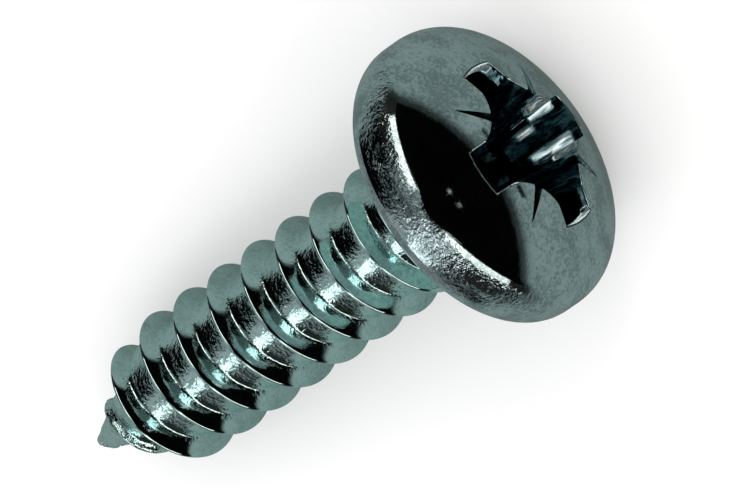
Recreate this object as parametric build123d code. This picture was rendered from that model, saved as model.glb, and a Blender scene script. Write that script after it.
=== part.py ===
from build123d import *
import math
import os

# Sheet metal screw ST5.5 by 19: pan head, type Z cross recess, coarse right-hand thread, cone point.
# It is drawn on its own centre line, bearing face at zero, head up and point down, and then laid
# on its side as it comes to rest: on the rim of its head and on a crest of its thread.

# Head
head_diameter = 11.0
head_height = 3.9
crown_radius = 8.1
shoulder_radius = 1.28
rim_radius = 0.6

# Neck, core and point; the shank is measured from the bearing face to the tip
shank_length = 19.5
core_diameter = 4.08
neck_flare = 0.74
point_angle = 50.0
tip_radius = 0.16

# Thread
thread_diameter = 5.33
thread_pitch = 1.814
crest_width = 0.1
flank_angle = 60.0
thread_start = 1.0
thread_start_angle = -33.0
run_in_turns = 0.44
crest_taper_length = 3.75
thread_stop = 0.45
ridge_root_depth = 0.12
points_per_turn = 12

# Cross recess, with its span and wing width where the wings meet the crown
recess_span = 6.4
recess_depth = 3.5
recess_taper = 13.25
recess_floor_drop = 0.2
wing_width = 1.66
wing_floor_width = 1.3
corner_reach = 2.25
corner_floor_reach = 1.35
corner_bulge = 0.27
core_width = 2.5
core_floor_width = 2.15
core_drop = 0.75

# Marks halfway between the wings
mark_reach = 3.4
mark_slope = 8.0
mark_angle = 28.0
mark_height = 1.0

# Sizes that follow
head_radius = head_diameter / 2
core_radius = core_diameter / 2
crest_radius = thread_diameter / 2
crown_centre = head_height - crown_radius
shoulder_inset = head_radius - shoulder_radius
shoulder_height = crown_centre + math.sqrt((crown_radius - shoulder_radius) ** 2 - shoulder_inset**2)
crown_half_angle = math.degrees(math.asin(shoulder_inset / (crown_radius - shoulder_radius)))
half_point = math.radians(point_angle / 2)
cone_apex = -shank_length - tip_radius / math.tan(half_point)
thread_turns = (shank_length - thread_stop - thread_start) / thread_pitch


def crown_level(radius):
    """Height of the crown's surface at a distance from the centre line."""
    return crown_centre + math.sqrt(crown_radius**2 - radius**2)


def revolved_body():
    """Head, neck, core and cone point, turned from one outline."""
    crown = CenterArc((0, crown_centre), crown_radius, 90, -crown_half_angle)
    shoulder_from = 90 - crown_half_angle
    shoulder = CenterArc((shoulder_inset, shoulder_height), shoulder_radius, shoulder_from, -shoulder_from)
    rim = CenterArc((head_radius - rim_radius, rim_radius), rim_radius, 0, -90)
    neck_top = (core_radius + neck_flare, 0)
    neck_foot = (core_radius, -neck_flare)
    cone_start = (core_radius, cone_apex + core_radius / math.tan(half_point))
    tip_edge = (tip_radius, -shank_length)
    tip_centre = (0, -shank_length)
    side = Line(shoulder @ 1, rim @ 0)
    shank = Polyline(rim @ 1, neck_top, neck_foot, cone_start, tip_edge, tip_centre, crown @ 0)
    outline = make_face([crown, shoulder, side, rim, shank])
    return revolve(Plane.XZ * outline, Axis.Z)


def thread_height(turn):
    """Height of the crest line after a number of turns from its start under the head."""
    return -thread_start - thread_pitch * turn


def core_reach(height):
    """Radius of the core at a height below the bearing face."""
    return min(core_radius, (height - cone_apex) * math.tan(half_point))


def crest_reach(turn):
    """Radius of the crest: it rises out of the neck, runs full, and tapers into the point."""
    height = thread_height(turn)
    to_stop = height + shank_length - thread_stop
    last = core_reach(thread_stop - shank_length) - ridge_root_depth / 2
    tapered = last + (crest_radius - last) * to_stop / (crest_taper_length - thread_stop)
    full = min(crest_radius, tapered)
    sunk = core_reach(height) - ridge_root_depth / 2
    run_in = math.sin(min(turn / run_in_turns, 1) * math.pi / 2)
    return sunk + (full - sunk) * run_in


def ridge_corner(turn, at_crest, side):
    """One corner of the ridge's section after a number of turns; side is 1 above and -1 below."""
    height = thread_height(turn)
    crest = crest_reach(turn)
    radius = crest if at_crest else core_reach(height) - ridge_root_depth
    spread = crest_width / 2 + (crest - radius) * math.tan(math.radians(flank_angle / 2))
    angle = math.radians(thread_start_angle - 360 * turn)
    return Vector(radius * math.cos(angle), radius * math.sin(angle), height + side * spread)


def ridge_piece(start, end):
    """The ridge from one turn to another: four helical edges, ruled flanks and two flat ends."""
    steps = math.ceil((end - start) * points_per_turn)
    shares = [step / steps for step in range(steps + 1)]
    edges = []
    for at_crest, side in [(False, 1), (True, 1), (True, -1), (False, -1)]:
        path = [ridge_corner(start + (end - start) * share, at_crest, side) for share in shares]
        edges.append(Edge.make_spline(path, parameters=shares))
    faces = [Face.make_surface_from_curves(edges[i], edges[(i + 1) % 4]) for i in range(4)]
    for end_point in (0, 1):
        faces.append(Face(Wire.make_polygon([edge @ end_point for edge in edges])))
    return Solid(Shell(faces))


def thread_ridge():
    """The whole ridge, one piece for each turn."""
    stops = list(range(math.ceil(thread_turns))) + [thread_turns]
    return [ridge_piece(start, end) for start, end in zip(stops, stops[1:])]


def cross_section(height, width, reach, bulge):
    """Four wings on one level, with an arc across each inner corner."""
    half = width / 2
    middle = (reach + half) / 2 - bulge / math.sqrt(2)
    outline = []
    for quarter in range(4):
        turned = Rot(0, 0, 90 * quarter)
        outline.append(turned * Line((head_radius, -half), (head_radius, half)))
        outline.append(turned * Line((head_radius, half), (reach, half)))
        outline.append(turned * ThreePointArc((reach, half), (middle, middle), (half, reach)))
        outline.append(turned * Line((half, reach), (half, head_radius)))
    return Pos(0, 0, height) * make_face(outline)


def recess_space():
    """The space of the cross recess: wings and a square core, both within a turned taper."""
    mouth_radius = recess_span / 2
    mouth = crown_level(mouth_radius)
    floor = head_height - recess_depth
    low = floor - recess_floor_drop
    high = head_height + rim_radius
    slope = math.tan(math.radians(recess_taper))
    floor_edge = (mouth_radius - (mouth - floor) * slope, floor)
    high_edge = (mouth_radius + (high - mouth) * slope, high)
    outline = Polyline((0, low), floor_edge, high_edge, (0, high), close=True)
    envelope = revolve(Plane.XZ * make_face(outline), Axis.Z)
    stretch = (high - floor) / (mouth - floor)
    sink = (low - floor) / (mouth - floor)
    sections = []
    for share in (sink, stretch):
        width = wing_floor_width + (wing_width - wing_floor_width) * share
        reach = corner_floor_reach + (corner_reach - corner_floor_reach) * share
        sections.append(cross_section(floor + (mouth - floor) * share, width, reach, corner_bulge))
    wings = loft(sections, ruled=True)
    core_floor = Pos(0, 0, low) * Rectangle(core_floor_width, core_floor_width)
    core_top = Pos(0, 0, mouth - core_drop) * Rectangle(core_width, core_width)
    return (wings + loft([core_floor, core_top])) & envelope


def mark_spaces():
    """Four grooves that run outward from the recess's corners and fade out on the crown."""
    half_width = mark_height * math.tan(math.radians(mark_angle / 2))
    section = Polyline((0, 0), (half_width, mark_height), (-half_width, mark_height), close=True)
    groove = extrude(Plane.XZ * make_face(section), -mark_reach)
    placed = Pos(0, -mark_reach, crown_level(mark_reach)) * Rot(mark_slope, 0, 0) * groove
    return [Rot(0, 0, 45 + 90 * quarter) * placed for quarter in range(4)]


def reach_down(lean):
    """How far the head's rim and the thread reach below the bearing face's centre, lying at a lean."""
    rim = (head_radius - rim_radius) * math.cos(lean) + rim_radius * (1 - math.sin(lean))
    crests = []
    for step in range(math.floor(thread_turns * 360)):
        turn = step / 360
        side = crest_reach(turn) * math.sin(math.radians(thread_start_angle - step))
        crests.append(side * math.cos(lean) - (thread_height(turn) - crest_width / 2) * math.sin(lean))
    return rim, max(crests)


def resting_lean():
    """The lean at which the rim and the thread touch the same flat surface, by halving steps."""
    lean = 0
    step = math.pi / 8
    while step > 1e-7:
        rim, crest = reach_down(lean + step)
        if crest < rim:
            lean += step
        step /= 2
    return lean


screw = revolved_body().fuse(*thread_ridge())
screw = screw.cut(recess_space(), *mark_spaces())
lean = resting_lean()
lying = Plane(origin=(0, 0, 0), x_dir=(0, -1, 0), z_dir=(math.cos(lean), 0, math.sin(lean)))
screw = lying.location * screw

os.makedirs("parts", exist_ok=True)
export_step(screw, "parts/sheet_metal_screw.step")
print("lean", round(math.degrees(lean), 3), "rests", [round(reach, 3) for reach in reach_down(lean)])
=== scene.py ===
import math
import bmesh
import bpy
import numpy as np
from mathutils import Matrix, Quaternion, Vector, noise


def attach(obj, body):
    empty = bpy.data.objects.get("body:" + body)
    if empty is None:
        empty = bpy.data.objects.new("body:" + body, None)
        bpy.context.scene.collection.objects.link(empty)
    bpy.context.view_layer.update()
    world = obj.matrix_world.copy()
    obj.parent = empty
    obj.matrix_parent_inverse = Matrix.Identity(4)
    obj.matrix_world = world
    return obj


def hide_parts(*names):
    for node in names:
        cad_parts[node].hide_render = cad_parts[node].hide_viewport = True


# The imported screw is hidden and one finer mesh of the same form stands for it.
# Lengths are in millimetres on the screw's own centre line, bearing face at zero and head up,
# until the mesh is laid down and scaled to metres.
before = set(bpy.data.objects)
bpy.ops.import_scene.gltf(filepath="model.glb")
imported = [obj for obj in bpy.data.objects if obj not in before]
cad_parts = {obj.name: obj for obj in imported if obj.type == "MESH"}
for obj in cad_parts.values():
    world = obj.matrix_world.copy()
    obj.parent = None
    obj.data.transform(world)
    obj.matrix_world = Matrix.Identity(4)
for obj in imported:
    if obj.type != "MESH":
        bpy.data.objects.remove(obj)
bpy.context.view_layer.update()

# Head
HEAD_RADIUS = 5.5
HEAD_HEIGHT = 3.9
CROWN_RADIUS = 8.1
SHOULDER_RADIUS = 1.28
RIM_RADIUS = 0.6
CROWN_CENTRE = HEAD_HEIGHT - CROWN_RADIUS
SHOULDER_INSET = HEAD_RADIUS - SHOULDER_RADIUS
SHOULDER_HEIGHT = CROWN_CENTRE + math.sqrt((CROWN_RADIUS - SHOULDER_RADIUS) ** 2 - SHOULDER_INSET**2)
CROWN_HALF_ANGLE = math.asin(SHOULDER_INSET / (CROWN_RADIUS - SHOULDER_RADIUS))

# Neck, core and point
SHANK_LENGTH = 19.5
CORE_RADIUS = 2.04
NECK_FLARE = 0.74
HALF_POINT = math.radians(25)
TIP_RADIUS = 0.16
CONE_APEX = -SHANK_LENGTH - TIP_RADIUS / math.tan(HALF_POINT)

# Thread
CREST_RADIUS = 2.665
PITCH = 1.814
THREAD_START = 1.0
START_ANGLE = -33.0
RUN_IN_TURNS = 0.44
TAPER_LENGTH = 3.75
THREAD_STOP = 0.45
RIDGE_SINK = 0.06
FLANK_SLOPE = math.tan(math.radians(30))

# Rounded crests, filleted roots and neck, all blunter within a length of the tip
CREST_BLUNT = 0.045
ROOT_FILLET = 0.06
NECK_FILLET = 0.05
NECK_END = -1.2
NEAR_TIP = 2.4
TIP_CREST_BLUNT = 0.3
TIP_ROOT_FILLET = 0.25
TIP_BULGE = 0.02

# Roughness that the rolling left, and lumps on the point
ROOT_ROUGHNESS = 0.38
POINT_LUMPS = 0.055
ROLLED_WAVES = 0.011
ROLLED_GRAIN = 0.005

# Cross recess
RECESS_RADIUS = 3.2
RECESS_DEPTH = 3.5
FLOOR_DROP = 0.2
FLOOR_EDGE = HEAD_HEIGHT - RECESS_DEPTH
FLOOR_CENTRE = FLOOR_EDGE - FLOOR_DROP
RECESS_TAPER = math.tan(math.radians(13.25))
WING_HALF = 0.83
WING_FLOOR_HALF = 0.65
CORNER_REACH = 2.25
CORNER_FLOOR_REACH = 1.35
CORNER_BULGE = 0.27
CORE_HALF = 1.25
CORE_FLOOR_HALF = 1.075
CORE_DROP = 0.75
MARK_REACH = 3.4
MARK_SLOPE = math.tan(math.radians(8))
MARK_HALF = math.tan(math.radians(14))
MARK_SOFTNESS = 0.006
MARK_BAND = 0.6
EDGE_RADIUS = 0.06


def crown_level(radius):
    return CROWN_CENTRE + math.sqrt(CROWN_RADIUS**2 - radius**2)


MOUTH = crown_level(RECESS_RADIUS)
FLOOR_RADIUS = RECESS_RADIUS - (MOUTH - FLOOR_EDGE) * RECESS_TAPER

verts = []
faces = []


def add(x, y, z):
    verts.append((x, y, z))
    return len(verts) - 1


def join_rings(lower, upper):
    """Quads between two closed rings with the same number of points."""
    count = len(lower)
    for i in range(count):
        j = (i + 1) % count
        faces.append((lower[i], lower[j], upper[j], upper[i]))


# Shank: rows follow the helix, so that every crest and root has its own rows of points
COLUMNS = 192
FROM_CREST = (0, 0.02, 0.045, 0.08, 0.13, 0.19, 0.25, 0.3, 0.34, 0.37, 0.4, 0.44, 0.52, 0.64, 0.78)
OFFSETS = sorted([PITCH / 2, *FROM_CREST, *(-x for x in FROM_CREST[1:])], reverse=True)
ROWS = len(OFFSETS)
FIRST_ROUND, LAST_ROUND = -1, 12
SEAM = 0.012


def smooth_max(a, b, width):
    """The larger of two values, with a rounded change over a width where they are alike."""
    return (a + b + math.sqrt((a - b) ** 2 + width**2)) / 2


def core_reach(height):
    return max(min(CORE_RADIUS, (height - CONE_APEX) * math.tan(HALF_POINT)), TIP_RADIUS)


def crest_reach(turn):
    """Radius of the crest: it rises out of the neck, runs full, and tapers into the point."""
    height = -THREAD_START - PITCH * turn
    to_stop = height + SHANK_LENGTH - THREAD_STOP
    if turn <= 0 or to_stop <= 0:
        return 0
    last = core_reach(THREAD_STOP - SHANK_LENGTH) - RIDGE_SINK
    full = min(CREST_RADIUS, last + (CREST_RADIUS - last) * to_stop / (TAPER_LENGTH - THREAD_STOP))
    sunk = core_reach(height) - RIDGE_SINK
    run_in = math.sin(min(turn / RUN_IN_TURNS, 1) * math.pi / 2)
    return sunk + (full - sunk) * run_in


def shank_reach(height, turn, offset):
    """Radius of the shank's surface, with a rounded crest and a small fillet at each root."""
    body = core_reach(height)
    if height > NECK_END:
        body = smooth_max(body, CORE_RADIUS + NECK_FLARE + height, NECK_FILLET)
    crest = crest_reach(turn)
    if crest <= 0:
        return body
    left = max(height - offset + SHANK_LENGTH, 0)
    near_tip = max(0, 1 - left / NEAR_TIP)
    blunt = CREST_BLUNT + TIP_CREST_BLUNT * near_tip
    slant = (math.sqrt(offset**2 + blunt**2) - blunt) / FLANK_SLOPE
    return smooth_max(body, crest - slant, ROOT_FILLET + TIP_ROOT_FILLET * near_tip)


def smooth_step(low, high, value):
    """Zero at low and one at high, with a soft start and end; it falls where low is the larger."""
    share = min(max((value - low) / (high - low), 0), 1)
    return share * share * (3 - 2 * share)


def rolled(x, y, z):
    """How far the rolling left the metal rough: full at the point and less along the roots."""
    radius = math.hypot(x, y)
    root = 1 - smooth_step(CORE_RADIUS + 0.03, CORE_RADIUS + 0.3, radius)
    return max(ROOT_ROUGHNESS * root, 1 - smooth_step(-17.9, -16.6, z)) * smooth_step(0, -0.8, z)


def dented(x, y, z):
    """A point of the shank moved in or out by the rough rolled surface."""
    amount = rolled(x, y, z)
    lumps = POINT_LUMPS * (1 - smooth_step(-18.2, -16.9, z))
    lumps *= smooth_step(-SHANK_LENGTH, -SHANK_LENGTH + 0.2, z)
    place = Vector((x, y, z))
    shift = lumps * noise.noise(place * 2.6 + Vector((3, 1, 7)))
    shift += 0.5 * lumps * noise.noise(place * 6.1)
    around = Vector((x * 1.2, y * 1.2, z * 3.0))
    shift += amount * ROLLED_WAVES * noise.noise(around * 1.5)
    shift += amount * ROLLED_GRAIN * noise.noise(around * 4.3)
    factor = 1 + shift / max(math.hypot(x, y), 0.1)
    return x * factor, y * factor, z


shank = []
top_ring = [None] * COLUMNS
tip_ring = [None] * COLUMNS
for column in range(COLUMNS):
    angle = 2 * math.pi * column / COLUMNS
    c, s = math.cos(angle), math.sin(angle)
    line = []
    for round_number in range(FIRST_ROUND, LAST_ROUND + 1):
        turn = (START_ANGLE - math.degrees(angle)) / 360 + round_number
        for offset in OFFSETS:
            height = -THREAD_START - PITCH * turn + offset
            if height > -SEAM:
                if top_ring[column] is None:
                    radius = CORE_RADIUS + NECK_FLARE
                    top_ring[column] = add(radius * c, radius * s, 0)
                line.append(top_ring[column])
            elif height < -SHANK_LENGTH + SEAM:
                if tip_ring[column] is None:
                    radius = TIP_RADIUS
                    tip_ring[column] = add(radius * c, radius * s, -SHANK_LENGTH)
                line.append(tip_ring[column])
            else:
                radius = shank_reach(height, turn, offset)
                line.append(add(*dented(radius * c, radius * s, height)))
    shank.append(line)
for column in range(COLUMNS):
    following = (column + 1) % COLUMNS
    shift = ROWS if following == 0 else 0
    for row in range(shift, len(shank[0]) - 1):
        corners = (
            shank[column][row],
            shank[following][row - shift],
            shank[following][row + 1 - shift],
            shank[column][row + 1],
        )
        kept = [v for i, v in enumerate(corners) if v != corners[i - 1]]
        if len(kept) >= 3 and len(set(kept)) == len(kept):
            faces.append(tuple(kept))
tip = add(0, 0, -SHANK_LENGTH - TIP_BULGE)
for column in range(COLUMNS):
    faces.append((tip_ring[(column + 1) % COLUMNS], tip_ring[column], tip))


# Head: its columns start at the outline of the recess and run over the crown and the rim
END_POINTS = 7
SIDE_POINTS = 8
ARC_POINTS = 8
INNER_POINTS = 9
MARK_POINTS = 6
EIGHTH_POINTS = END_POINTS + SIDE_POINTS + ARC_POINTS + INNER_POINTS + MARK_POINTS

# Share of a corner's arc at which its mark begins
MARK_FROM = 0.827

# Rings of points from the recess's floor to the bearing face
FLOOR_SHARES = (0.25, 0.5, 0.75, 0.92)
CORE_RINGS = 14
WALL_RINGS = 12
EDGE_ANGLES = (0, 22.5, 45, 67.5, 90)
CROWN_RINGS = 48
SHOULDER_RINGS = 16
RIM_RINGS = 8
BEARING_RADII = (4.0, 3.2)

# Heights at which the recess's outline is worked out, and the rounds that settle its meeting lines
OUTLINE_LEVELS = 80
SETTLING_ROUNDS = 12


def groove_bottom(along):
    """Height of a mark's bottom line at a distance from the centre line."""
    return crown_level(MARK_REACH) - (MARK_REACH - along) * MARK_SLOPE


def surface(plan):
    """Height of the crown, lowered in the four marks that run out from the recess's corners."""
    x, y = np.abs(plan[:, 0]), np.abs(plan[:, 1])
    level = CROWN_CENTRE + np.sqrt(CROWN_RADIUS**2 - x**2 - y**2)
    along, aside = (x + y) / math.sqrt(2), np.abs(x - y) / math.sqrt(2)
    groove = groove_bottom(along) + aside / MARK_HALF
    gap = groove - level
    cut = (level + groove - np.sqrt(gap**2 + MARK_SOFTNESS**2)) / 2
    return np.where(aside < MARK_BAND, np.minimum(level, cut), level)


def eighth(height, with_core):
    """Outline of half a wing and its corner, from the wing's middle to the diagonal."""
    share = (height - FLOOR_EDGE) / (MOUTH - FLOOR_EDGE)
    half_width = WING_FLOOR_HALF + (WING_HALF - WING_FLOOR_HALF) * share
    reach = CORNER_FLOOR_REACH + (CORNER_REACH - CORNER_FLOOR_REACH) * share
    radius = FLOOR_RADIUS + (RECESS_RADIUS - FLOOR_RADIUS) * share
    corner = math.asin(half_width / radius)
    points = []
    for i in range(END_POINTS):
        angle = corner * i / END_POINTS
        points.append((radius * math.cos(angle), radius * math.sin(angle)))
    side_from = radius * math.cos(corner)
    for i in range(SIDE_POINTS):
        points.append((side_from + (reach - side_from) * i / SIDE_POINTS, half_width))
    # The arc's centre lies on the diagonal, as far from the wing's side as from the corner's middle
    middle = (reach + half_width) / 2 - CORNER_BULGE / math.sqrt(2)
    centre = (reach**2 + half_width**2 - 2 * middle**2) / (2 * (reach + half_width - 2 * middle))
    arc = math.hypot(reach - centre, half_width - centre)
    from_angle = math.atan2(half_width - centre, reach - centre)
    to_angle = -3 * math.pi / 4
    core_share = (height - FLOOR_CENTRE) / (MOUTH - CORE_DROP - FLOOR_CENTRE)
    core = CORE_FLOOR_HALF + (CORE_HALF - CORE_FLOOR_HALF) * min(core_share, 1)
    crossing = 1.0
    if core > middle:
        angle = math.atan2(-math.sqrt(max(arc**2 - (core - centre) ** 2, 0)), core - centre)
        crossing = (angle - from_angle) / (to_angle - from_angle)
    split = min(max(crossing, 0.1), 0.7)
    shares = [split * i / ARC_POINTS for i in range(ARC_POINTS)]
    shares += [split + (MARK_FROM - split) * i / INNER_POINTS for i in range(INNER_POINTS)]
    shares += [MARK_FROM + (1 - MARK_FROM) * i / MARK_POINTS for i in range(MARK_POINTS + 1)]
    cross_y = centre + arc * math.sin(from_angle + (to_angle - from_angle) * crossing)
    for share in shares:
        angle = from_angle + (to_angle - from_angle) * share
        x, y = centre + arc * math.cos(angle), centre + arc * math.sin(angle)
        if with_core and share > crossing:
            x, y = core, cross_y + (core - cross_y) * (share - crossing) / (1 - crossing)
        points.append((x, y))
    return points


def outline(height, with_core=False):
    """The whole closed outline, anticlockwise from the middle of the first wing's end."""
    part = eighth(height, with_core)
    quarter = part + [(y, x) for x, y in reversed(part[1:-1])]
    whole = []
    for c, s in ((1, 0), (0, 1), (-1, 0), (0, -1)):
        whole += [(c * x - s * y, s * x + c * y) for x, y in quarter]
    return np.array(whole)


def levels_outline(heights, with_core=False):
    """One point of the outline for each column, each column at its own height."""
    grid = np.linspace(0.1, HEAD_HEIGHT + 0.1, OUTLINE_LEVELS)
    table = np.array([outline(h, with_core) for h in grid])
    place = (heights - grid[0]) / (grid[1] - grid[0])
    low = np.clip(np.floor(place).astype(int), 0, len(grid) - 2)
    part = (place - low)[:, None]
    column = np.arange(len(heights))
    return table[low, column] * (1 - part) + table[low + 1, column] * part


# The mouth follows the crown and its marks, and the floor's edge follows the hollow floor
count = len(outline(MOUTH))
mouth_height = np.full(count, MOUTH)
for _ in range(SETTLING_ROUNDS):
    plan = levels_outline(mouth_height)
    mouth_height = surface(plan)
mouth_plan = levels_outline(mouth_height)
floor_height = np.full(count, FLOOR_EDGE)
for _ in range(SETTLING_ROUNDS):
    plan = levels_outline(floor_height, True)
    floor_height = FLOOR_CENTRE + (FLOOR_EDGE - FLOOR_CENTRE) * np.hypot(*plan.T) / FLOOR_RADIUS
floor_plan = levels_outline(floor_height, True)
ledge_height = np.full(count, MOUTH - CORE_DROP)


def outward(plan):
    """Steps away from the recess, in plan; a corner's is longer, so that its sides move evenly."""
    before = plan - np.roll(plan, 1, 0)
    after = np.roll(plan, -1, 0) - plan
    n1 = np.stack([before[:, 1], -before[:, 0]], 1)
    n2 = np.stack([after[:, 1], -after[:, 0]], 1)
    n1 /= np.linalg.norm(n1, axis=1)[:, None]
    n2 /= np.linalg.norm(n2, axis=1)[:, None]
    both = n1 + n2
    both /= np.linalg.norm(both, axis=1)[:, None]
    return both / np.clip((both * n1).sum(1), 0.5, 1)[:, None]


def ring(plan, heights):
    return [add(p[0], p[1], h) for p, h in zip(plan, heights)]


def shares_up_to_one(steps):
    """Even steps from above zero to one."""
    return np.linspace(0, 1, steps + 1)[1:]


floor_middle = add(0, 0, FLOOR_CENTRE)
rings = []
for share in FLOOR_SHARES:
    plan = floor_plan * share
    rings.append(ring(plan, FLOOR_CENTRE + (floor_height - FLOOR_CENTRE) * share))
rings.append(ring(floor_plan, floor_height))
for share in shares_up_to_one(CORE_RINGS):
    heights = floor_height + (ledge_height - floor_height) * share
    rings.append(ring(levels_outline(heights, True), heights))
for share in np.linspace(0, 1, WALL_RINGS, endpoint=False):
    heights = ledge_height + (mouth_height - EDGE_RADIUS - ledge_height) * share
    rings.append(ring(levels_outline(heights), heights))
normal = outward(mouth_plan)
wall_top = levels_outline(mouth_height - EDGE_RADIUS)

# Beside a diagonal, where the mark draws the lip's points together, they are spread evenly
SPREAD_POINTS = 3
column = np.arange(count)
past_diagonal = column % (2 * EIGHTH_POINTS) - EIGHTH_POINTS
from_diagonal = np.abs(past_diagonal)
diagonal = (column // (2 * EIGHTH_POINTS) + 0.5) * math.pi / 2
normal[from_diagonal == 0] /= np.linalg.norm(normal[from_diagonal == 0], axis=1)[:, None]
sideways = np.stack([-np.sin(diagonal), np.cos(diagonal)], 1)
aside = ((wall_top + normal * EDGE_RADIUS) * sideways).sum(1)
even = aside[past_diagonal == SPREAD_POINTS].mean() * past_diagonal / SPREAD_POINTS
moved = np.where(from_diagonal < SPREAD_POINTS, even - aside, 0)
normal += (moved / EDGE_RADIUS)[:, None] * sideways
edge_from = len(verts)
for angle in EDGE_ANGLES:
    a = math.radians(angle)
    plan = wall_top + normal * EDGE_RADIUS * (1 - math.cos(a))
    rings.append(ring(plan, surface(plan) - EDGE_RADIUS * (1 - math.sin(a))))
edge_to = len(verts)
lip = wall_top + normal * EDGE_RADIUS
angles = np.arctan2(lip[:, 1], lip[:, 0])
rim_of_crown = SHOULDER_INSET + SHOULDER_RADIUS * math.sin(CROWN_HALF_ANGLE)
lip_radius = np.hypot(*lip.T)

# Columns near a diagonal follow the sides of its mark, and turn radial beyond the mark's end
LEAST_HALF = 0.02
FADE_LENGTH = 0.9
aside_angle = (angles - diagonal + math.pi) % (2 * math.pi) - math.pi
edge_angle = np.abs(aside_angle[from_diagonal == MARK_POINTS]).mean()
outer_angle = np.abs(aside_angle[from_diagonal == MARK_POINTS + INNER_POINTS]).mean()
for share in shares_up_to_one(CROWN_RINGS):
    radius = lip_radius + (rim_of_crown - lip_radius) * share
    level = CROWN_CENTRE + np.sqrt(CROWN_RADIUS**2 - radius**2)
    depth = level - crown_level(MARK_REACH) + (MARK_REACH - radius) * MARK_SLOPE
    width = np.maximum(depth * MARK_HALF, LEAST_HALF)
    size = np.abs(aside_angle)
    straight = radius * np.sin(size)
    edge_line, outer_line = radius * math.sin(edge_angle), radius * math.sin(outer_angle)
    within = straight / edge_line * width
    beside = width + (straight - edge_line) / (outer_line - edge_line) * (outer_line - width)
    bent = np.where(from_diagonal <= MARK_POINTS, within, beside)
    bent = np.where(from_diagonal > MARK_POINTS + INNER_POINTS, straight, bent)
    fade = np.clip((radius - MARK_REACH) / FADE_LENGTH, 0, 1)
    fade = fade * fade * (3 - 2 * fade)
    across = bent * (1 - fade) + straight * fade
    turned = diagonal + np.sign(aside_angle) * np.arcsin(across / radius)
    plan = np.stack([radius * np.cos(turned), radius * np.sin(turned)], 1)
    rings.append(ring(plan, surface(plan)))


def turned_ring(radius, height):
    return [add(radius * math.cos(a), radius * math.sin(a), height) for a in angles]


for share in shares_up_to_one(SHOULDER_RINGS):
    a = math.pi / 2 - CROWN_HALF_ANGLE - share * (math.pi / 2 - CROWN_HALF_ANGLE)
    rings.append(turned_ring(SHOULDER_INSET + SHOULDER_RADIUS * math.cos(a),
                             SHOULDER_HEIGHT + SHOULDER_RADIUS * math.sin(a)))
rings.append(turned_ring(HEAD_RADIUS, (SHOULDER_HEIGHT + RIM_RADIUS) / 2))
for share in np.linspace(0, 1, RIM_RINGS + 1):
    a = -share * math.pi / 2
    rings.append(turned_ring(HEAD_RADIUS - RIM_RADIUS + RIM_RADIUS * math.cos(a),
                             RIM_RADIUS + RIM_RADIUS * math.sin(a)))
for radius in BEARING_RADII:
    rings.append(turned_ring(radius, 0))
for lower, upper in zip(rings, rings[1:]):
    join_rings(lower, upper)
for i in range(count):
    faces.append((floor_middle, rings[0][i], rings[0][(i + 1) % count]))

# Bearing face between the last ring of the head and the first ring of the shank
outer = rings[-1]
start = int(np.argmin(np.abs(angles)))
outer_angles = [(angles[(start + i) % count] - angles[start]) % (2 * math.pi) for i in range(count)]
outer_angles.append(2 * math.pi)
i = j = 0
while i < count or j < COLUMNS:
    a = outer[(start + i) % count]
    b = top_ring[j % COLUMNS]
    step_outer = outer_angles[i + 1] if i < count else math.inf
    step_inner = 2 * math.pi * (j + 1) / COLUMNS if j < COLUMNS else math.inf
    if step_outer <= step_inner:
        faces.append((b, a, outer[(start + i + 1) % count]))
        i += 1
    else:
        faces.append((a, top_ring[(j + 1) % COLUMNS], b))
        j += 1

# Laid down as it comes to rest, in metres
LEAN = math.radians(10.371)
lying = Matrix((
    (0, math.sin(LEAN), math.cos(LEAN)),
    (-1, 0, 0),
    (0, -math.cos(LEAN), math.sin(LEAN)),
))
mesh = bpy.data.meshes.new("screw_surface")
mesh.from_pydata([lying @ Vector(v) * 0.001 for v in verts], [], faces)


def band(value, low, high, soft):
    """One between low and high, fading to zero over a soft margin outside."""
    return smooth_step(low - soft, low, value) * smooth_step(high + soft, high, value)


# The photograph's upright direction, on the screw's own axes
UPRIGHT_Y, UPRIGHT_Z = 0.596, 0.803


def wall_level(y, z):
    """How high a place on the recess's far walls shows in the photograph."""
    return UPRIGHT_Y * y + UPRIGHT_Z * z


def drawn_streak_and_highlight(x, y, z):
    """Where the far wing takes upright streaks: punch marks in the relief and roughness, and a painted
    highlight in the colour.
    """
    if y < 1.0:
        return 0
    level = wall_level(y, z) + 0.12 * noise.noise(Vector((x * 9, y * 2, 4)))
    upper = max(band(x, -1.05, -0.6, 0.1), band(x, 0.48, 0.95, 0.1)) * band(level, 3.2, 4.0, 0.16)
    lower = max(band(x, -0.47, -0.27, 0.08), band(x, 0.42, 0.66, 0.08)) * band(level, 2.5, 3.0, 0.2)
    return max(upper, lower)


def corner_streak_and_highlight(x, y, z):
    """Upright streaks on the corners at the mouth of the far wing, painted bright as a highlight, with
    tilted relief.
    """
    if y < 1.2:
        return 0
    level = wall_level(y, z) + 0.15 * noise.noise(Vector((x * 9, 3, 4)))
    left = band(x, -1.09, -0.84, 0.04) * band(level, 3.3, 4.1, 0.12)
    right = band(x, 0.87, 0.97, 0.04) * band(level, 3.1, 3.95, 0.12)
    return max(left, right) * smooth_step(-0.45, -0.05, noise.noise(Vector((x * 16, 1, z))))


def side_smeared_highlight(x, y, depth):
    """A band under the edge of the side wings' far walls, painted bright as a highlight, with more
    roughness and tilted relief.
    """
    if y < 0.5 or abs(x) < 1.5:
        return 0
    broken = smooth_step(-0.5, 0, noise.noise(Vector((x * 5, y * 2, 2 - depth * 4))))
    if x < 0:
        return band(x, -3.05, -2.3, 0.1) * band(depth, 0.1, 0.5, 0.08) * broken
    return band(x, 2.3, 3.05, 0.1) * band(depth, 0.06, 0.25, 0.06) * broken


def dent_shade(x, y):
    """Two short dents on the crown beside the near wing, shown only as painted shade."""
    left = band(x, -1.25, -0.95, 0.08) * band(y, -2.16, -2.05, 0.05)
    right = band(x, 1.02, 1.44, 0.08) * band(y, -2.31, -2.17, 0.05)
    return max(left, right)
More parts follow.
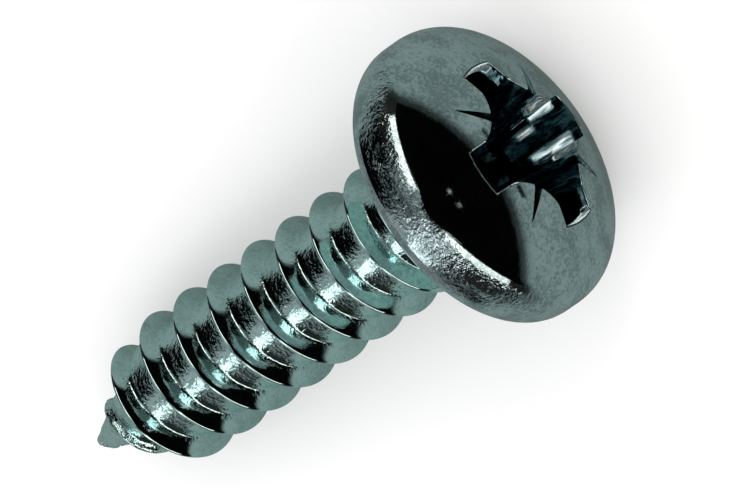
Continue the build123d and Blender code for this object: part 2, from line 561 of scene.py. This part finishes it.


# What each point of the mesh tells the finish, with its painted shade and painted highlights, and where
# on the head it applies
TRAITS = ("grain", "thread", "hollow_shade", "wall", "streak_and_highlight", "smeared_highlight", "mark", "edge", "end")
SHOULDER_FROM = 4.6
RECESS_ZONE = 3.6
WING_END = 3.0


def finish_at(index, x, y, z):
    """How rough the metal is at one point and how much painted shade or painted highlight it takes, as a
    value from 0 to 1 for each trait.
    """
    radius = math.hypot(x, y)
    here = dict.fromkeys(TRAITS, 0)
    if z <= 0:
        here["grain"] = rolled(x, y, z)
        here["thread"] = 1
    elif radius > SHOULDER_FROM:
        here["grain"] = smooth_step(2.0, 1.7, z) * smooth_step(0.75, 1.0, z)
    if z > 0 and radius < RECESS_ZONE:
        depth = crown_level(radius) - z
        if index < edge_from:
            # Painted shade: the recess darkens with its depth below the crown
            here["hollow_shade"] = smooth_step(0.05, 0.25, depth)
            here["wall"] = smooth_step(0.5, 0.7, z) * here["hollow_shade"]
            # Upright streaks on the far walls: tilted relief and a painted highlight
            here["streak_and_highlight"] = drawn_streak_and_highlight(x, y, z)
            # Painted highlight in a band on the side wings' far walls
            here["smeared_highlight"] = side_smeared_highlight(x, y, depth)
            # Painted highlight at the wings' ends and on the far corners, which also take tilted relief
            wing_end = smooth_step(2.85, 2.95, abs(x)) * smooth_step(0.5, 0.4, depth)
            here["end"] = here["edge"] = max(wing_end, corner_streak_and_highlight(x, y, z))
        else:
            # Painted shade in the marks' grooves, weaker in the far marks, and at two dents
            near_mouth = 1 if y < 0 else 0.6 + 0.4 * smooth_step(2.5, 2.2, radius)
            beside = smooth_step(0.3, 0.2, abs(abs(x) - abs(y)))
            in_mark = smooth_step(0.005, 0.06, depth) * beside * near_mouth
            here["mark"] = max(in_mark, dent_shade(x, y))
    # Painted highlight: a bright line along the recess's edge at the wings' ends, and a broken one along
    # the near wing
    if edge_from <= index < edge_to:
        if abs(x) > WING_END:
            here["edge"] = 1
            here["end"] = 0.5
        elif y < -1.9 and abs(x) < 0.95:
            here["edge"] = smooth_step(-0.35, 0.05, noise.noise(Vector((x * 3, y * 3, 1))))
    return here


traits = {name: [] for name in TRAITS}
for index, point in enumerate(verts):
    for name, value in finish_at(index, *point).items():
        traits[name].append(value)
for name, values in traits.items():
    mesh.attributes.new(name, "FLOAT", "POINT").data.foreach_set("value", values)
own_place = mesh.attributes.new("own_place", "FLOAT_VECTOR", "POINT")
own_place.data.foreach_set("vector", [coordinate for v in verts for coordinate in v])
work = bmesh.new()
work.from_mesh(mesh)
bmesh.ops.remove_doubles(work, verts=work.verts, dist=1e-7)
bmesh.ops.recalc_face_normals(work, faces=work.faces)
open_edges = sum(1 for e in work.edges if not e.is_manifold)
print("mesh", len(work.verts), "points", len(work.faces), "faces", open_edges, "open edges",
      "volume", round(work.calc_volume() * 1e9, 1))
work.to_mesh(mesh)
work.free()
for polygon in mesh.polygons:
    polygon.use_smooth = True
mesh.set_sharp_from_angle(angle=math.radians(38))
screw = bpy.data.objects.new("screw_surface", mesh)
bpy.context.scene.collection.objects.link(screw)
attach(screw, "root")
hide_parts("sheet_metal_screw")


def work_on(owner):
    """Turns the helpers to the nodes of one material or of the world."""
    global nodes, links
    owner.use_nodes = True
    nodes, links = owner.node_tree.nodes, owner.node_tree.links


def node(kind, **values):
    made = nodes.new(kind)
    for name, value in values.items():
        if name in made.inputs:
            made.inputs[name].default_value = value
        else:
            setattr(made, name, value)
    return made


def feed(value, socket):
    """Links another node's output to a socket, or sets a plain value on it."""
    if hasattr(value, "links"):
        links.new(value, socket)
    else:
        socket.default_value = value


def noise_at(scale, detail, stretch=(1, 1, 1), roughness=0.55):
    """Noise in millimetres on the screw's own axes, with Z along its centre line."""
    mapping = node("ShaderNodeMapping", Scale=stretch)
    links.new(place_node.outputs["Vector"], mapping.inputs["Vector"])
    texture = node("ShaderNodeTexNoise", Scale=scale, Detail=detail, Roughness=roughness)
    links.new(mapping.outputs["Vector"], texture.inputs["Vector"])
    return texture.outputs["Fac"]


def ramp(source, *stops):
    """Colours or greys by the source's value, each stop a position and what it shows there."""
    made = node("ShaderNodeValToRGB")
    elements = made.color_ramp.elements
    while len(elements) < len(stops):
        elements.new(0.5)
    for element, (position, colour) in zip(elements, stops):
        element.position = position
        element.color = (*colour, 1) if hasattr(colour, "__len__") else (colour, colour, colour, 1)
    links.new(source, made.inputs["Fac"])
    return made.outputs["Color"]


def math_node(operation, a, b=0):
    made = node("ShaderNodeMath", operation=operation)
    feed(a, made.inputs[0])
    feed(b, made.inputs[1])
    return made.outputs["Value"]


def mixed(factor, a, b):
    """Colour a, turning into colour b as the factor goes from 0 to 1."""
    made = node("ShaderNodeMix", data_type="RGBA")
    feed(factor, made.inputs[0])
    feed(a, made.inputs[6])
    feed(b, made.inputs[7])
    return made.outputs[2]


def map_range(source, from_low, from_high, to_low=0, to_high=1, curve="LINEAR"):
    made = node("ShaderNodeMapRange", interpolation_type=curve)
    feed(source, made.inputs["Value"])
    feed(from_low, made.inputs["From Min"])
    feed(from_high, made.inputs["From Max"])
    feed(to_low, made.inputs["To Min"])
    feed(to_high, made.inputs["To Max"])
    return made.outputs["Result"]


def bump(height, strength, distance, below=None, invert=False):
    """A layer of relief, its distance in metres, on top of the layer below."""
    made = node("ShaderNodeBump", Distance=distance, invert=invert)
    feed(strength, made.inputs["Strength"])
    feed(height, made.inputs["Height"])
    if below is not None:
        feed(below, made.inputs["Normal"])
    return made.outputs["Normal"]


def trait(name):
    return node("ShaderNodeAttribute", attribute_name=name).outputs["Fac"]


# Plated steel: satin zinc with a blue-grey finish, brighter on the thread
HEAD_FINISH = (0.46, (0.38, 0.47, 0.48)), (0.5, (0.54, 0.66, 0.675)), (0.54, (0.69, 0.83, 0.85))
THREAD_FINISH = (0.44, (0.56, 0.77, 0.75)), (0.5, (0.7, 0.94, 0.92)), (0.56, (0.77, 1, 0.99))
# Painted shade for deep in the recess
RECESS_PAINTED_SHADE = (0.42, (0.03, 0.06, 0.075)), (0.58, (0.25, 0.4, 0.44))
# Painted highlight for the far wing's upright streaks
STREAK_PAINTED_HIGHLIGHT = (0.4, (0.4, 0.55, 0.6)), (0.52, (0.85, 0.98, 1))
# Painted highlight for the band on the side wings' far walls
SMEAR_PAINTED_HIGHLIGHT = (0.4, (0.25, 0.5, 0.56)), (0.55, (0.6, 0.93, 1))
SCUFF_COLOUR = (0.3, 0.34, 0.32, 1)
# Painted shade for the marks and the two dents
MARK_PAINTED_SHADE = (0.03, 0.04, 0.045, 1)
# Painted highlight for the recess's edge, the wings' ends and the far corners
EDGE_PAINTED_HIGHLIGHT = (0.77, 0.96, 1, 1)

steel = bpy.data.materials.new("zinc_plated_steel")
work_on(steel)
shader = nodes["Principled BSDF"]
shader.inputs["Metallic"].default_value = 1.0
place_node = node("ShaderNodeAttribute", attribute_name="own_place")
grain, thread, hollow_shade, wall, streak_and_highlight, smeared_highlight, mark, edge, end = (trait(name) for name in TRAITS)

# Broad patches and a fine mottle, with painted shade in the recess and in the marks, and painted
# highlights on the far walls and along the recess's edge
patches = noise_at(0.9, 4)
mottle = noise_at(8, 5, roughness=0.8)
blend = math_node("ADD", math_node("MULTIPLY", patches, 0.4), math_node("MULTIPLY", mottle, 0.6))
finish = mixed(thread, ramp(blend, *HEAD_FINISH), ramp(blend, *THREAD_FINISH))
scuffs = ramp(noise_at(1.7, 4, roughness=0.65), (0.6, 0), (0.68, 1))
finish = mixed(math_node("MULTIPLY", scuffs, 0.3), finish, SCUFF_COLOUR)
bands = noise_at(3.6, 1, stretch=(1, 1, 0.06))
# Painted shade in the recess, in upright bands
finish = mixed(hollow_shade, finish, ramp(bands, *RECESS_PAINTED_SHADE))
# Painted highlight: bright upright streaks on the far wing's walls
finish = mixed(streak_and_highlight, finish, ramp(bands, *STREAK_PAINTED_HIGHLIGHT))
# Painted highlight: a bright band on the side wings' far walls
finish = mixed(smeared_highlight, finish, ramp(bands, *SMEAR_PAINTED_HIGHLIGHT))
# Painted shade in the marks and at the two dents
finish = mixed(mark, finish, MARK_PAINTED_SHADE)
# Painted highlight along the recess's edge, the wings' ends and the far corners
finish = mixed(edge, finish, EDGE_PAINTED_HIGHLIGHT)
links.new(finish, shader.inputs["Base Color"])
rougher = ramp(noise_at(5, 5), (0.3, 0.03), (0.7, 0.08))
for source, amount in ((grain, 0.06), (edge, 0.2), (streak_and_highlight, 0.2), (smeared_highlight, 0.3)):
    rougher = math_node("ADD", rougher, math_node("MULTIPLY", source, amount))
links.new(rougher, shader.inputs["Roughness"])

# Lumps, pits and specks for the head's shoulder, the thread's roots and the point
lumps = noise_at(2.3, 1, stretch=(1, 1, 0.8))
pits = noise_at(8, 2)
specks = ramp(noise_at(7, 0), (0.62, 0), (0.72, 1))
clusters = ramp(noise_at(1.4, 2), (0.45, 0), (0.6, 1))
worn = math_node("ADD", lumps, math_node("MULTIPLY", pits, 0.9))
sparse = math_node("MULTIPLY", math_node("MULTIPLY", specks, clusters), 0.4)
worn = math_node("ADD", worn, sparse)

# Relief, layer on layer: fine grain everywhere, the worn grain, and upright streaks on the recess's
# walls. The last four tilt what the punch scraped, the wings' ends and the recess's edge evenly.
upright = node("ShaderNodeSeparateXYZ")
links.new(place_node.outputs["Vector"], upright.inputs["Vector"])
own_x, own_y, own_z = (upright.outputs[axis] for axis in "XYZ")
relief = bump(noise_at(14, 4), 0.1, 0.00001)
relief = bump(worn, math_node("MULTIPLY", grain, 0.9), 0.000045, relief)
relief = bump(bands, math_node("MULTIPLY", wall, 0.6), 0.00008, relief)
relief = bump(own_z, math_node("MAXIMUM", streak_and_highlight, smeared_highlight), 0.00045, relief, invert=True)
relief = bump(math_node("ABSOLUTE", own_x), smeared_highlight, 0.00045, relief)
relief = bump(own_z, end, 0.0016, relief, invert=True)
relief = bump(own_y, edge, 0.0009, relief)
links.new(relief, shader.inputs["Normal"])
mesh.materials.append(steel)

# Pale floor under the lowest point
FLOOR_HALF = 1.2
PAPER_WHITE = (0.97, 0.97, 0.97)
PAPER_ROUGHNESS = 0.95
lowest = min((screw.matrix_world @ v.co).z for v in mesh.vertices)


def staged(name, points, polygons, material):
    made = bpy.data.meshes.new(name)
    made.from_pydata(points, [], polygons)
    made.materials.append(material)
    shown = bpy.data.objects.new(name, made)
    bpy.context.scene.collection.objects.link(shown)
    return shown


def plain(name, colour, roughness):
    """A matt material of one colour, for what isn't part of the screw."""
    made = bpy.data.materials.new(name)
    made.use_nodes = True
    inputs = made.node_tree.nodes["Principled BSDF"].inputs
    inputs["Base Color"].default_value = (*colour, 1)
    inputs["Roughness"].default_value = roughness
    inputs["Specular IOR Level"].default_value = 0
    return made


def level_square(name, half, height, material):
    corners = [(-half, -half, height), (half, -half, height), (half, half, height), (-half, half, height)]
    return staged(name, corners, [(0, 1, 2, 3)], material)


level_square("floor", FLOOR_HALF, lowest, plain("paper", PAPER_WHITE, PAPER_ROUGHNESS))

# What the metal sees round it shows only as a reflection: dark cloths in front and at the sides, grey
# pieces overhead, a grey wall behind, and a grey mat under the screw. Angles are in degrees, and an
# azimuth runs from the head's side, along +X, towards +Y.
ROOM = 0.45
DOME_STEPS = 24
DARK, BLACK = (0.018, 0.017, 0.016), (0.001, 0.001, 0.001)
LEFT_GREY, RIGHT_GREY = (0.21, 0.24, 0.235), (0.14, 0.145, 0.145)
FAR_GREY, BACK_GREY = (0.07, 0.08, 0.08), (0.09, 0.1, 0.1)
WALL_GREY, BAND_GREY = (0.2, 0.215, 0.22), (0.28, 0.31, 0.31)


def only_reflected(piece):
    for ray in ("camera", "diffuse", "shadow", "transmission"):
        setattr(piece, "visible_" + ray, False)


def reflected(name, colour, *rows):
    """A piece of a dome round the screw that only the metal's reflections show.

    Each row gives an elevation and the azimuths between which the piece runs there.
    """
    elevations = np.linspace(rows[0][0], rows[-1][0], DOME_STEPS + 1)
    starts = np.interp(elevations, [r[0] for r in rows], [r[1] for r in rows])
    ends = np.interp(elevations, [r[0] for r in rows], [r[2] for r in rows])
    points, polygons = [], []
    for e, start, end in zip(np.radians(elevations), np.radians(starts), np.radians(ends)):
        for a in np.linspace(start, end, DOME_STEPS + 1):
            points.append((ROOM * math.cos(a) * math.cos(e), ROOM * math.sin(a) * math.cos(e),
                           lowest + ROOM * math.sin(e)))
    across = DOME_STEPS + 1
    for i in range(DOME_STEPS):
        for k in range(DOME_STEPS):
            first = across * i + k
            polygons.append((first, first + 1, first + across + 1, first + across))
    only_reflected(staged(name, points, polygons, plain(name, colour, 1.0)))


reflected("front_cloth", BLACK,
          (0, -60, 50), (14, -57, 52), (26, -46, 44), (38, -32, 28), (48, -25, 20), (90, -20, 12))
reflected("left_cloth", DARK,
          (0, 50, 97), (14, 52, 97), (26, 44, 97), (38, 28, 97), (46, 22, 97), (53, 20, 97))
reflected("left_fold", BLACK,
          (0, 97, 130), (14, 97, 141), (26, 97, 150), (37, 97, 161), (44, 97, 168), (53, 97, 172))
reflected("left_top", LEFT_GREY, (53, 20, 128), (90, 12, 128))
reflected("far_top", FAR_GREY, (53, 128, 172), (90, 128, 172))
reflected("back_wall", WALL_GREY, (0, 130, 230), (14, 141, 226), (26, 150, 217), (36, 160, 214))
reflected("back_band", BAND_GREY, (36, 160, 214), (44, 168, 211), (50, 172, 211))
reflected("back_top", BACK_GREY, (50, 172, 211), (90, 172, 211))
reflected("right_cloth", DARK,
          (0, -130, -60), (14, -134, -57), (26, -143, -46), (38, -147, -32), (53, -149, -24))
reflected("right_top", RIGHT_GREY, (53, -149, -24), (90, -149, -20))

# In front of the head the mat darkens with the distance
MAT_LIFT = 1e-5
MAT_GREY, MAT_DARK = (0.198, 0.239, 0.23), (0.004, 0.005, 0.005)
mat = level_square("grey_mat", ROOM, lowest + MAT_LIFT, plain("grey_mat", MAT_GREY, 1.0))
only_reflected(mat)
work_on(mat.active_material)
mat_place = node("ShaderNodeTexCoord").outputs["Object"]
from_middle = node("ShaderNodeVectorMath", operation="LENGTH")
links.new(mat_place, from_middle.inputs[0])
far = map_range(from_middle.outputs["Value"], 0.02, 0.16, 0, 0.88, curve="SMOOTHERSTEP")
split = node("ShaderNodeSeparateXYZ")
links.new(mat_place, split.inputs["Vector"])
in_front = map_range(split.outputs["X"], -0.02, 0.02)
shade = mixed(math_node("MULTIPLY", far, in_front), (*MAT_GREY, 1), (*MAT_DARK, 1))
links.new(shade, nodes["Principled BSDF"].inputs["Base Color"])


def lamp(name, azimuth, elevation, width, height, radiance, colour=(1, 1, 1), roll=0, distance=0.36):
    """A soft lamp that faces the screw; width and height are the angles it covers from there."""
    a, e = math.radians(azimuth), math.radians(elevation)
    data = bpy.data.lights.new(name, "AREA")
    data.shape = "RECTANGLE"
    data.size = 2 * distance * math.tan(math.radians(width / 2))
    data.size_y = 2 * distance * math.tan(math.radians(height / 2))
    data.energy = radiance * math.pi * data.size * data.size_y
    data.color = colour
    made = bpy.data.objects.new(name, data)
    back = Vector((math.cos(a) * math.cos(e), math.sin(a) * math.cos(e), math.sin(e)))
    made.location = back * distance
    made.rotation_mode = "QUATERNION"
    made.rotation_quaternion = back.to_track_quat("Z", "Y") @ Quaternion((0, 0, 1), math.radians(roll))
    made.visible_camera = False
    bpy.context.scene.collection.objects.link(made)


WARM, COOL = (1, 0.98, 0.92), (0.97, 1, 1)
lamp("left_box", 50, 36, 17, 47, 1.6, WARM, roll=26)
lamp("right_box", -54, 36, 18, 50, 1.6, WARM, roll=-22)
lamp("small_left", 2.7, 23.3, 0.7, 0.7, 2.0)
lamp("small_right", -5.6, 23.0, 0.7, 0.7, 2.0)
lamp("back_strip", -108, 64, 30, 14, 1.7)
lamp("back_box", -155, 49, 17, 32, 1.2, COOL, roll=-14)

# White surroundings at strength 1 for what is seen, and a little less as the floor's even light
FLOOR_LIGHT = 0.98
world = bpy.data.worlds.new("studio")
bpy.context.scene.world = world
work_on(world)
path = node("ShaderNodeLightPath")
shown = path.outputs["Is Camera Ray"]
for output in ("Is Glossy Ray", "Is Transmission Ray"):
    shown = math_node("MAXIMUM", shown, path.outputs[output])
links.new(map_range(shown, 0, 1, FLOOR_LIGHT, 1), nodes["Background"].inputs["Strength"])
nodes["Background"].inputs["Color"].default_value = (1, 1, 1, 1)

# Camera: high over the head, at the angle of the photograph. Its angles and its distance are from the
# screw's origin, in millimetres; the focal length and the origin's place in the picture are in pixels.
TILT, YAW, ROLL = math.radians(53.3996), math.radians(0.5759), math.radians(34.9011)
DISTANCE = 470.029
FOCAL_LENGTH = 13598.4
ORIGIN_X, ORIGIN_Y = 465.324, 187.229
IMAGE_WIDTH, IMAGE_HEIGHT = 750, 500
SENSOR_WIDTH = 36
toward = Vector((math.sin(YAW) * math.sin(TILT), -math.cos(YAW) * math.sin(TILT), math.cos(TILT)))
up = (Vector((0, 0, 1)) - toward.z * toward).normalized()
side = up.cross(toward)
image_right = math.cos(ROLL) * up + math.sin(ROLL) * side
image_down = -math.sin(ROLL) * up + math.cos(ROLL) * side
place = (DISTANCE * toward - (ORIGIN_X - IMAGE_WIDTH / 2) * DISTANCE / FOCAL_LENGTH * image_right
         - (ORIGIN_Y - IMAGE_HEIGHT / 2) * DISTANCE / FOCAL_LENGTH * image_down)
camera = bpy.data.objects.new("camera", bpy.data.cameras.new("camera"))
bpy.context.scene.collection.objects.link(camera)
axes = Matrix((lying @ image_right, lying @ -image_down, lying @ toward)).transposed()
camera.matrix_world = Matrix.Translation(lying @ place * 0.001) @ axes.to_4x4()
camera.data.sensor_width = SENSOR_WIDTH
camera.data.lens = FOCAL_LENGTH * SENSOR_WIDTH / IMAGE_WIDTH
camera.data.clip_start = 0.01
camera.data.clip_end = 10
bpy.context.scene.camera = camera
bpy.context.scene.view_settings.view_transform = "Standard"
